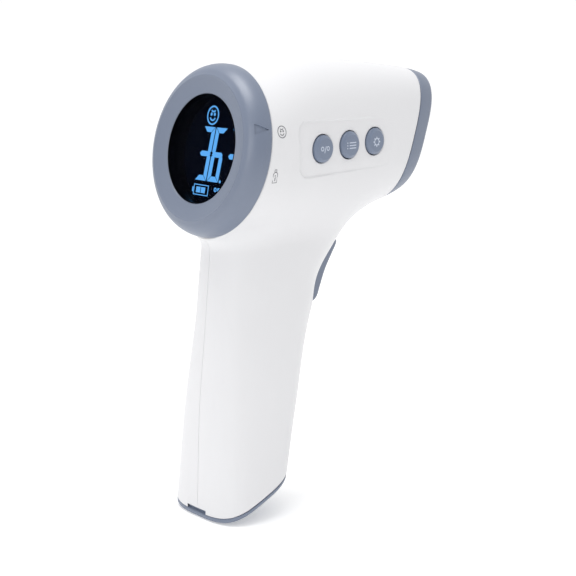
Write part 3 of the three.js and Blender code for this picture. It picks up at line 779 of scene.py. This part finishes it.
def make_ring():
    """A deep bezel: a chamfer round the window, a shallow face, a fine ridge and a wide rolled flank."""
    face = [(17.8, -0.5), (17.82, -0.36), (18.08, -0.06), (18.16, -0.01), (18.5, 0.02)]
    face += [(r, 0.02 + 1.18 * ((r - 18.5) / 4.8) ** 1.25) for r in np.linspace(19, 23.2, 9)]
    ridge = [(23.38, 1.27), (23.5, 1.34), (23.66, 1.37), (23.84, 1.33), (24.0, 1.22)]
    flank = curve_through([(24.0, 1.22), (25.7, 0.35), (27.2, -1.4), (28.15, -3.8), (28.42, -5.9)], 6)[1:]
    rim = [(28.42, -6.2), (28.3, -6.38), (28.0, -6.4)]
    inner = [(24, -6.4), (24, -9.35), (24.9, -9.35), (24.9, -10.3), (22.9, -10.3), (22.9, -2.8), (19.4, -2.8)]
    inner += [(17.8, -1.3)]
    profile = face + ridge + [tuple(p) for p in flank] + rim + inner
    ring = lathe("ring_trim", profile, DISPLAY_FRAME, SLATE, 256)
    cut(ring, piece("pointer", *rows_mesh(pointer_rows(flank)), SLATE))
    smooth(ring, 28)
    hand_over(ring, "ring", "slate_trim", "mode_ring")


make_ring()


# ---------- display ----------
LCD_FACE = -7.5
LCD_THICK = 0.06


def flat_shape(outline, base, thick, matrix):
    """A thin closed plate with that outline."""
    points = [(x, y, base) for x, y in outline] + [(x, y, base + thick) for x, y in outline]
    return moved(points, matrix), plate_faces(len(outline))


def arc(cx, cy, rx, ry, start, end, steps):
    angle = np.radians(np.linspace(start, end, steps))
    return [(cx + rx * math.cos(a), cy + ry * math.sin(a)) for a in angle]


def stroke(line, width, closed=False):
    """The outline of a pen stroke along a line, as short quads."""
    p = np.asarray(line, float)
    ahead = np.roll(p, -1, 0) - p
    back = p - np.roll(p, 1, 0)
    if not closed:
        ahead[-1], back[0] = back[-1], ahead[0]
    d = ahead / np.linalg.norm(ahead, axis=1)[:, None] + back / np.linalg.norm(back, axis=1)[:, None]
    d /= np.maximum(np.linalg.norm(d, axis=1), 1e-9)[:, None]
    n = np.stack([-d[:, 1], d[:, 0]], 1) * width / 2
    a, b = p + n, p - n
    count = len(p) if closed else len(p) - 1
    return [[a[i], b[i], b[(i + 1) % len(p)], a[(i + 1) % len(p)]] for i in range(count)]


def segment_shapes(width, height, thick, gap):
    """The seven bars of a digit, pointed where they meet, with the origin at the lower left corner."""
    w, h, t, g = width, height, thick, gap
    m = h / 2
    above, below = m + t / 2, m - t / 2
    return {
        "top": [(g, h), (w - g, h), (w - t - g, h - t), (t + g, h - t)],
        "bottom": [(g, 0), (t + g, t), (w - t - g, t), (w - g, 0)],
        "middle": [(g, m), (t / 2 + g, above), (w - t / 2 - g, above), (w - g, m),
                   (w - t / 2 - g, below), (t / 2 + g, below)],
        "upper_left": [(0, h - g), (t, h - t - g), (t, above + g), (t / 2, m + g), (0, above)],
        "upper_right": [(w, h - g), (w, above), (w - t / 2, m + g), (w - t, above + g), (w - t, h - t - g)],
        "lower_left": [(0, g), (0, below), (t / 2, m - g), (t, below - g), (t, t + g)],
        "lower_right": [(w, g), (w - t, t + g), (w - t, below - g), (w - t / 2, m - g), (w, below)],
    }


DIGIT = {"width": 6.0, "height": 17.8, "thick": 1.75, "gap": 0.16, "foot": -10.1, "lean": 0.075}
DIGITS = [(-10.45, 3), (-3.9, 6), (4.8, 3)]
BARS = {
    3: ["top", "upper_right", "middle", "lower_right", "bottom"],
    6: ["top", "upper_left", "middle", "lower_left", "lower_right", "bottom"],
}


def face_strokes(r, width):
    """A plain smiling face with a fringe of hair, for the body-temperature mode."""
    lines = [(arc(0, 0, r, r * 1.02, 0, 345, 24), True)]
    lines += [(arc(0, -0.05 * r, r * 0.5, r * 0.52, 205, 335, 9), False)]
    lines += [(arc(side * 0.3 * r, 0.12 * r, r * 0.1, r * 0.13, 0, 300, 6), True) for side in (-1, 1)]
    lines += [(arc(0, 0.62 * r, r * 0.36, r * 0.2, 190, 350, 7), False)]
    return [q for line, closed in lines for q in stroke(line, width, closed)]


def make_lcd():
    """The lit figures of a reading, the face above them and the battery below."""
    bars = segment_shapes(DIGIT["width"], DIGIT["height"], DIGIT["thick"], DIGIT["gap"])
    shapes = []
    for x0, digit in DIGITS:
        for name in BARS[digit]:
            shapes.append([(x0 + x + DIGIT["lean"] * y, DIGIT["foot"] + y) for x, y in bars[name]])
    shapes.append(arc(3.1, -9.7, 0.5, 0.5, 0, 324, 10))
    shapes += [[(x - 5.5, y + 11.5) for x, y in q] for q in face_strokes(2.9, 0.52)]
    battery = [(-10.2, -11.6), (-2.5, -11.6), (-2.5, -14.9), (-10.2, -14.9)]
    shapes += stroke(battery, 0.42, closed=True)
    shapes.append([(-11.1, -12.5), (-10.5, -12.5), (-10.5, -14.1), (-11.1, -14.1)])
    shapes += [[(x, -12.3), (x + 2.2, -12.3), (x + 2.2, -14.2), (x, -14.2)] for x in (-8.9, -6.3)]
    shapes += stroke(arc(1.3, -12.5, 0.55, 0.55, 0, 330, 12), 0.4, closed=True)
    shapes.append([(2.5, -11.8), (3.5, -11.8), (3.2, -14.4), (2.2, -14.4)])
    parts = [flat_shape(shape, LCD_FACE, LCD_THICK, DISPLAY_FRAME) for shape in shapes]
    lit = piece("lcd_segments", *combined(parts), LIT)
    hand_over(lit, "body", "lcd")


def make_window():
    """The clear window, the black cup behind it and the black film under the lit segments."""
    profile = [(AXIS, -0.35), (16.6, -0.38), (17.1, -0.46), (17.38, -0.75), (17.4, -2.4), (AXIS, -2.4)]
    window = lathe("window_lens", profile, DISPLAY_FRAME, GLASS, 128, wrapped=False)
    hand_over(window, "body", "clear_window", "display_window")
    cup = [(17.5, -0.22), (17.56, -0.14), (17.68, -0.14), (17.74, -0.22), (17.74, -2.7), (18.7, -3.0)]
    cup += [(18.8, -3.1), (18.8, -6.3), (22.3, -6.3), (22.3, -7.3), (18.9, -7.3), (18.8, -7.6), (18.4, -7.6)]
    cup += [(18.35, -5.2), (17.9, -3.4), (17.5, -2.6)]
    wall = lathe("display_bezel", cup, DISPLAY_FRAME, CUP, 128)
    hand_over(wall, "body", "black_cup", "display_cup")
    upper, lower, edge = LCD_FACE - 0.02, LCD_FACE - 0.06, 18.38
    disc = [(AXIS, upper), (edge, upper), (edge, lower), (AXIS, lower)]
    film = lathe("lcd_film", disc, DISPLAY_FRAME, DARK, 96, wrapped=False)
    hand_over(film, "body", "lcd")


make_lcd()
make_window()


# ---------- buttons ----------
def dense(line, step=0.35):
    """The same line with points close enough together to follow a curved surface."""
    points = []
    for (x0, y0), (x1, y1) in zip(line, line[1:]):
        count = max(1, math.ceil(math.hypot(x1 - x0, y1 - y0) / step))
        points += [(x0 + (x1 - x0) * i / count, y0 + (y1 - y0) * i / count) for i in range(count)]
    return points + [line[-1]]


def symbol_unit():
    """Two degree rings either side of a slash."""
    quads = stroke(arc(-1.35, 0.3, 0.58, 0.62, 0, 330, 16), 0.3, closed=True)
    quads += stroke(dense([(-0.4, -1.1), (0.35, 1.1)]), 0.3)
    return quads + stroke(arc(1.3, 0.3, 0.58, 0.62, 0, 330, 16), 0.3, closed=True)


def symbol_memory():
    """Three rows of a list, each with its dot."""
    quads = []
    for y in (0.9, 0, -0.9):
        quads += stroke(dense([(-1.1, y), (2.2, y)]), 0.32)
        quads += stroke([(-2.2, y), (-1.8, y)], 0.36)
    return quads


def symbol_set():
    """A small toothed wheel."""
    quads = stroke(arc(0, 0, 1.1, 1.1, 0, 345, 24), 0.32, closed=True)
    for i in range(8):
        c, s = math.cos(i * math.pi / 4), math.sin(i * math.pi / 4)
        quads += stroke([(1.15 * c, 1.15 * s), (1.7 * c, 1.7 * s)], 0.4)
    return quads


SYMBOLS = {"unit": symbol_unit, "memory": symbol_memory, "set": symbol_set}
KEY_TOP = [(AXIS, 1.15), (1.6, 1.13), (3.0, 1.06), (3.42, 1.02)]
KEY_TOP += [(3.54, 0.98), (4.22, 0.42), (4.4, 0.24), (4.48, 0.0)]


def key_height(r):
    rs, zs = zip(*KEY_TOP)
    return float(np.interp(r, rs, zs))


def on_key(outline, matrix):
    """A patch of printed ink on the domed top of a key."""
    low = [(x, y, key_height(math.hypot(x, y)) - 0.03) for x, y in outline]
    high = [(x, y, z + 0.06) for x, y, z in low]
    return moved(low + high, matrix), plate_faces(len(outline))


def make_buttons():
    """Three round keys with domed, bevelled tops and a printed symbol each."""
    for matrix, name in zip(BUTTON_FRAMES, SYMBOLS):
        top = [tuple(p) for p in curve_through(KEY_TOP, 3)]
        skirt = [(4.5, -2.4), (4.6, -2.5), (5.7, -2.5), (5.8, -2.6), (5.8, -3.2), (5.7, -3.3), (AXIS, -3.3)]
        key = lathe(f"key_{name}", top + skirt, matrix, KEY, 72, wrapped=False, sharp=24)
        hand_over(key, f"{name}_key", "slate_button", f"button_{name}")
        parts = [on_key([(x - 0.35, y - 0.15) for x, y in quad], matrix) for quad in SYMBOLS[name]()]
        mark = piece(f"symbol_{name}", *combined(parts), LABEL)
        hand_over(mark, f"{name}_key", "slate_button")


make_buttons()


# ---------- printed marks on the housing ----------
def on_side(quads, y0, z0):
    """Thin printed ink that follows the right side of the skin."""
    parts = []
    for quad in quads:
        y = np.array([y0 + u for u, _ in quad])
        z = np.array([z0 + v for _, v in quad])
        low = np.stack([side_x(y, z, -0.02), y, z], 1)
        high = np.stack([side_x(y, z, 0.03), y, z], 1)
        parts.append((np.concatenate([low, high]), plate_faces(len(quad))))
    return parts


def bottle_strokes():
    """A small bottle, for the object-temperature mode."""
    body = [(-0.95, -2.1), (0.95, -2.1), (0.95, 0.7), (0.4, 1.3), (-0.4, 1.3), (-0.95, 0.7)]
    quads = stroke(body, 0.26, closed=True)
    quads += stroke([(-0.42, 1.45), (-0.42, 2.1), (0.42, 2.1), (0.42, 1.45)], 0.26)
    quads += stroke([(0, -1.5), (0, -0.3)], 0.34)
    return quads + stroke(arc(0, 0.15, 0.2, 0.2, 0, 300, 8), 0.14, closed=True)


for name, quads, y, z in (
    ("print_face", face_strokes(1.8, 0.26), 0.0, 123.9),
    ("print_bottle", bottle_strokes(), -3.0, 110.2),
):
    ink = piece(name, *combined(on_side(quads, y, z)), PRINT)
    hand_over(ink, "body", "white_housing")


# ---------- nose ----------
def make_nose():
    """The cap follows the barrel, rolls over at its front and turns in to the sensor's opening."""
    count = 192
    front = NOSE["front"]
    side = [(0.15, 0.3), (0.3, 0.12), (0.55, 0.08), (2, 0.1), (3.8, 0.18), (5.3, 0.34)]
    angle = np.radians(np.linspace(0, 90, 12))[1:]
    roll = [(5.3 + 2.9 * math.sin(a), 0.34 + 3.4 * (1 - math.cos(a)) ** 1.1) for a in angle]
    rows = [outline_on(NOSE_FRAME, -ahead, inset, count) for ahead, inset in side + roll]
    turn = np.arange(count) * 2 * math.pi / count

    def circle(r, z):
        return moved(np.stack([r * np.cos(turn), r * np.sin(turn), np.full(count, z)], 1), NOSE_FRAME)

    last = rows[-1]
    opening, lip_round = NOSE["opening"], 0.5
    rim = circle(opening + lip_round, front)
    rows += [last + (rim - last) * t for t in np.linspace(0, 1, 7)[1:]]
    for a in angle[::3]:
        rows.append(circle(opening + lip_round * (1 - math.sin(a)), front + lip_round * (1 - math.cos(a))))
    rows.append(circle(opening, front + 2.2))
    inside = [(front + 2.3, 4.2), (4, 4.2), (4, 3.0), (0, 3.0), (-0.15, 2.8)]
    rows += [outline_on(NOSE_FRAME, z, inset, count) for z, inset in inside]
    cap = piece("nose_trim", *rows_mesh(rows, wrapped=True), SLATE)
    hand_over(cap, "body", "slate_trim", "nose_cap")
    lip, throat = front + 0.4, 5.6
    funnel = [(7.4, lip + 0.1), (7.6, lip), (8.4, lip), (8.6, lip + 0.2), (8.6, lip + 1.5)]
    funnel += [(5.6, throat), (4.2, throat)]
    steps = [(4.2 + 3.2 * t, throat + (lip + 0.1 - throat) * t) for t in np.linspace(0, 1, 14)[1:-1]]
    ribbed = [(r - (0.12 if i % 2 else 0), z) for i, (r, z) in enumerate(steps)]
    cone = lathe("sensor_funnel", funnel + ribbed, NOSE_FRAME, SENSOR, 128)
    hand_over(cone, "body", "sensor_black", "sensor_cone")


make_nose()


# ---------- trigger ----------
TRIGGER_FACE = {
    "height": [61.7, 62.3, 63.8, 67.5, 73, 77.8, 81, 82.6, 83.3],
    "front": [30.4, 32.45, 34.2, 35.7, 38.0, 40.8, 42.75, 43.0, 41.8],
}


def make_trigger():
    """A curved finger piece with rolled edges, its hub round the pin, and the arm between them."""
    r, half, count = 1.3, TRIGGER["half"], 9
    spans = [(61.7, 63.8, 8), (64.6, 80.6, 26), (81, 83.3, 9)]
    heights = np.concatenate([np.linspace(*span) for span in spans])
    corner = np.radians(np.linspace(0, 90, count))
    rows = []
    for z in heights:
        front = float(along(TRIGGER_FACE["height"], TRIGGER_FACE["front"], z))
        back = 27.5 + (z - heights[0]) * 0.42
        end = min(z - heights[0], heights[-1] - z)
        pinch = 0.7 * (1 - math.sqrt(1 - (1 - min(end / 1.2, 1)) ** 2))
        wide = half - pinch
        right = [(wide - r + r * math.sin(a), front - r + r * math.cos(a)) for a in corner]
        left = [(-x, y) for x, y in reversed(right)]
        across = np.linspace(-wide + r, wide - r, 9)[1:-1]
        crown = [(x, front + 0.25 * (1 - (x / wide) ** 2) - 0.05) for x in across]
        rear = [(wide, back + 0.2), (wide - 0.3, back), (-wide + 0.3, back), (-wide, back + 0.2)]
        rows.append(np.array([(x, y, z) for x, y in left + crown + right + rear]))
    parts = [rows_mesh(rows)]
    pin = Matrix.Translation((0, TRIGGER["pin_y"], TRIGGER["pin_z"])) @ Matrix.Rotation(math.pi / 2, 4, "Y")
    parts.append(lathe_mesh([(1.25, -5), (1.25, 5), (2.4, 5), (2.6, 4.8), (2.6, -4.8), (2.4, -5)], pin, 48))
    parts.append(box_mesh((-4.9, 33.2, 80.5), (4.9, 37.6, 84.4)))
    lever = piece("trigger_lever", *combined(parts), SLATE, sharp=40)
    hand_over(lever, "lever", "slate_trim", "trigger")


make_trigger()


# ---------- battery lid ----------
def make_lid():
    """A tray with a rolled edge, a latch tongue, grip ridges, and slots for the hinge's two ears."""
    count = 192
    under = [(0.0, inset) for inset in (14, 9, 5, 2.5)]
    roll = [(0.0, 1.7), (0.05, 1.15), (0.18, 0.72), (0.4, 0.36), (0.7, 0.14)]
    roll += [(1.0, 0.05), (1.45, 0.05), (1.57, 0.1), (1.6, 0.25)]
    wall = [(1.6, 2.9), (4.3, 2.9), (4.4, 3.0), (4.4, 4.1)]
    floor = [(LID_THICK, inset) for inset in (4.1, 9, 14)]
    rows = [outline_on(BASE_FRAME, z, inset, count) for z, inset in under + roll + wall + floor]
    lid = piece("lid_tray", *rows_mesh(rows), SLATE)
    ears = []
    for side in (-1, 1):
        middle = side * HINGE["ear"]
        low, high = (middle - 1.3, HINGE["y"] - 2.5, -3.5), (middle + 1.3, HINGE["y"] + 2.5, 5.5)
        ears.append(box_mesh(low, high, BASE_FRAME))
    room = box_mesh((-30, HINGE["y"] - 3, 2.0), (30, HINGE["y"] + 3, 9.8), BASE_FRAME)
    cut(lid, piece("lid_slots", *combined(ears), SLATE))
    cut(lid, piece("lid_room", *room, SLATE))
    rear = min(p[1] for p in local(outline_on(BASE_FRAME, LID_THICK, 0, count), BASE_FRAME))
    wide = LATCH["half"] - 0.25
    sections = []
    for z, inset in ((1.2, 0.0), (3.0, 0.0), (3.3, 0.12), (3.4, 0.35)):
        left, right = LATCH["middle"] - wide + inset, LATCH["middle"] + wide - inset
        back, front = rear + 1.1 + inset, rear + 3.4 - inset
        tongue = [(left, back, z), (right, back, z), (right, front, z), (left, front, z)]
        sections.append(moved(tongue, BASE_FRAME))
    parts = [rows_mesh(sections)]
    ridge = [(AXIS, -5), (0.2, -4.95), (0.34, -4.7), (0.34, 4.7), (0.2, 4.95), (AXIS, 5)]
    for i in range(5):
        bar = Matrix.Translation((0, rear + 3.0 + i * 1.3, 0.0)) @ Matrix.Rotation(math.pi / 2, 4, "Y")
        parts.append(lathe_mesh(ridge, BASE_FRAME @ bar, 20, wrapped=False))
    grip = piece("lid_latch", *combined(parts), SLATE)
    hand_over(lid, "lid", "slate_trim", "battery_lid")
    hand_over(grip, "lid", "slate_trim")


make_lid()


# ---------- screws and cells ----------
def make_screw(number, y, z):
    """A pan-head screw with a cross recess and a turned thread."""
    place = Matrix.Translation((SCREW["crown"], y, z)) @ Matrix.Rotation(-math.pi / 2, 4, "Y")
    r, deep = SCREW["head"], SCREW["seat"] - SCREW["crown"]
    head = [(AXIS, 0.0), (r * 0.6, -0.02), (r * 0.86, -0.1), (r * 0.96, -0.25), (r, -0.55), (r, -deep + 0.3)]
    head += [(r - 0.1, -deep + 0.2), (SCREW["core"], -deep + 0.2)]
    turns = np.arange(-deep - 0.3, SCREW["crown"] - SCREW["end"] + 1.2, -0.8)
    ridge = [(0, 0), (0.3, 0.22), (0.4, 0.22)]
    thread = [(SCREW["core"] + lift, t - step) for t in turns for step, lift in ridge]
    tip = [(SCREW["core"], SCREW["crown"] - SCREW["end"] + 0.6), (AXIS, SCREW["crown"] - SCREW["end"])]
    screw = lathe(f"screw_{number}", head + thread + tip, place, STEEL, 48, wrapped=False)
    for turn in (0.4, 0.4 + math.pi / 2):
        slot = place @ Matrix.Rotation(turn, 4, "Z")
        rows = []
        for height, wide in ((-1.1, 0.5), (0.3, 1.6)):
            corners = [(-wide, -0.32), (wide, -0.32), (wide, 0.32), (-wide, 0.32)]
            rows.append(moved([(u, v, height) for u, v in corners], slot))
        cut(screw, piece("recess", *rows_mesh(rows), STEEL))
    hand_over(screw, "body", "steel", f"housing_screw_{number}")


def make_cell(name, side):
    """A cylindrical cell: a printed sleeve over a steel can, with its button at one end."""
    r, top = CELL_SIZE["radius"], CELL_SIZE["length"]
    foot = Matrix.Translation((0, CELL_SIZE["y"], CELL_SIZE["foot"]))
    lean = Matrix.Rotation(math.radians(-CELL_SIZE["lean"]), 4, "X")
    place = foot @ lean @ Matrix.Translation((side * CELL_SIZE["apart"], 0, 0))
    if side > 0:
        place = place @ Matrix.Translation((0, 0, top)) @ Matrix.Rotation(math.pi, 4, "X")
    sleeve = [(r - 0.9, 0.12), (r - 0.3, 0.1), (r - 0.06, 0.25), (r, 0.5), (r, top - 11.6), (r, top - 11.4)]
    sleeve += [(r, top - 1.7), (r - 0.1, top - 1.4), (r - 0.5, top - 1.25), (r - 1.2, top - 1.25)]
    sleeve += [(r - 1.2, top - 1.6), (r - 0.4, top - 2), (r - 0.4, 0.6), (r - 0.9, 0.4)]
    skin = lathe(f"{name}_sleeve", sleeve, place, CELL, 96)
    skin.data.materials.append(GOLD)
    for polygon in skin.data.polygons:
        along_cell = (place.inverted() @ (Vector(polygon.center) / MM)).z
        polygon.material_index = 1 if along_cell > top - 11.5 else 0
    can = [(AXIS, 0.3), (2.6, 0.3), (2.8, 0.02), (r - 1.1, 0.02), (r - 0.6, 0.5), (r - 0.5, 0.7)]
    can += [(r - 0.5, top - 1.9), (r - 1.4, top - 1.5), (2.3, top - 1.45), (1.9, top - 1.2)]
    can += [(1.85, top - 0.2), (1.6, top - 0.01), (AXIS, top - 0.01)]
    steel = lathe(f"{name}_can", can, place, STEEL, 64, wrapped=False)
    hand_over(skin, "body", "cell_sleeve", name)
    hand_over(steel, "body", "steel")


for i, (y, z) in enumerate(SCREW_PLACES):
    make_screw(i + 1, y, z)
make_cell("battery_left", -1)
make_cell("battery_right", 1)


# ---------- camera, lights and floor ----------
# Each light is a square: its name, place, aim, side length and power in watts.
LIGHTS = [
    ("top", (-20, -60, 620), (0, 20, 60), 330, 1.6),
    ("fill", (300, -500, 300), (0, 20, 80), 320, 0.6),
    ("edge", (-330, -330, 480), (0, 0, 110), 200, 0.1),
]
WORLD = {"bright": 1.02, "dim": 0.7, "towards": (-0.77, 0.64, 0)}
FLOOR_METRES = 60


def add_camera():
    a, e = math.radians(CAMERA["azimuth"]), math.radians(CAMERA["elevation"])
    back = Vector((math.sin(a) * math.cos(e), -math.cos(a) * math.cos(e), math.sin(e)))
    data = bpy.data.cameras.new("camera")
    data.lens = CAMERA["lens"]
    data.sensor_width = 36
    data.clip_start = 0.01
    data.clip_end = 200
    camera = placed("camera", data)
    camera.location = (Vector(CAMERA["target"]) + back * CAMERA["distance"]) * MM
    camera.rotation_euler = (-back).to_track_quat("-Z", "Y").to_euler()
    bpy.context.scene.camera = camera


def add_light(name, place, aim, size, power):
    data = bpy.data.lights.new(name, "AREA")
    data.shape = "RECTANGLE"
    data.size = size * MM
    data.size_y = size * MM
    data.energy = power
    light = placed(name, data)
    light.location = Vector(place) * MM
    light.rotation_euler = (Vector(aim) - Vector(place)).to_track_quat("-Z", "Y").to_euler()


def add_world(bright, dim, towards):
    """White light from all round, a little weaker from the side away from the given direction."""
    world = bpy.data.worlds.new("studio")
    world.use_nodes = True
    background = world.node_tree.nodes["Background"]
    background.inputs["Color"].default_value = (1, 1, 1, 1)
    nodes, links = world.node_tree.nodes, world.node_tree.links
    direction = nodes.new("ShaderNodeTexCoord")
    product = nodes.new("ShaderNodeVectorMath")
    product.operation = "DOT_PRODUCT"
    product.inputs[1].default_value = towards
    level = nodes.new("ShaderNodeMapRange")
    level.inputs["From Min"].default_value = -1
    level.inputs["From Max"].default_value = 0.8
    level.inputs["To Min"].default_value = dim
    level.inputs["To Max"].default_value = bright
    links.new(direction.outputs["Generated"], product.inputs[0])
    links.new(product.outputs["Value"], level.inputs["Value"])
    links.new(level.outputs["Result"], background.inputs["Strength"])
    bpy.context.scene.world = world


def add_floor():
    """A pale floor under the lowest point of the object, lit a little from within so that it stays white."""
    low = CAD_BOUNDS[0].z - 0.05 * MM
    material = finish("floor_paper", (0.86, 0.86, 0.86), roughness=0.7, spread=0.002, bump=0.0)
    shader = material.node_tree.nodes["Principled BSDF"]
    shader.inputs["Emission Color"].default_value = (1, 1, 1, 1)
    shader.inputs["Emission Strength"].default_value = 0.27
    mesh = bpy.data.meshes.new("floor")
    corners = [(x * FLOOR_METRES, y * FLOOR_METRES, low) for x, y in ((-1, -1), (1, -1), (1, 1), (-1, 1))]
    mesh.from_pydata(corners, [], [(0, 1, 2, 3)])
    mesh.materials.append(material)
    floor = placed("floor", mesh)


add_camera()
add_world(**WORLD)
for light in LIGHTS:
    add_light(*light)
add_floor()
bpy.context.scene.view_settings.view_transform = "Standard"
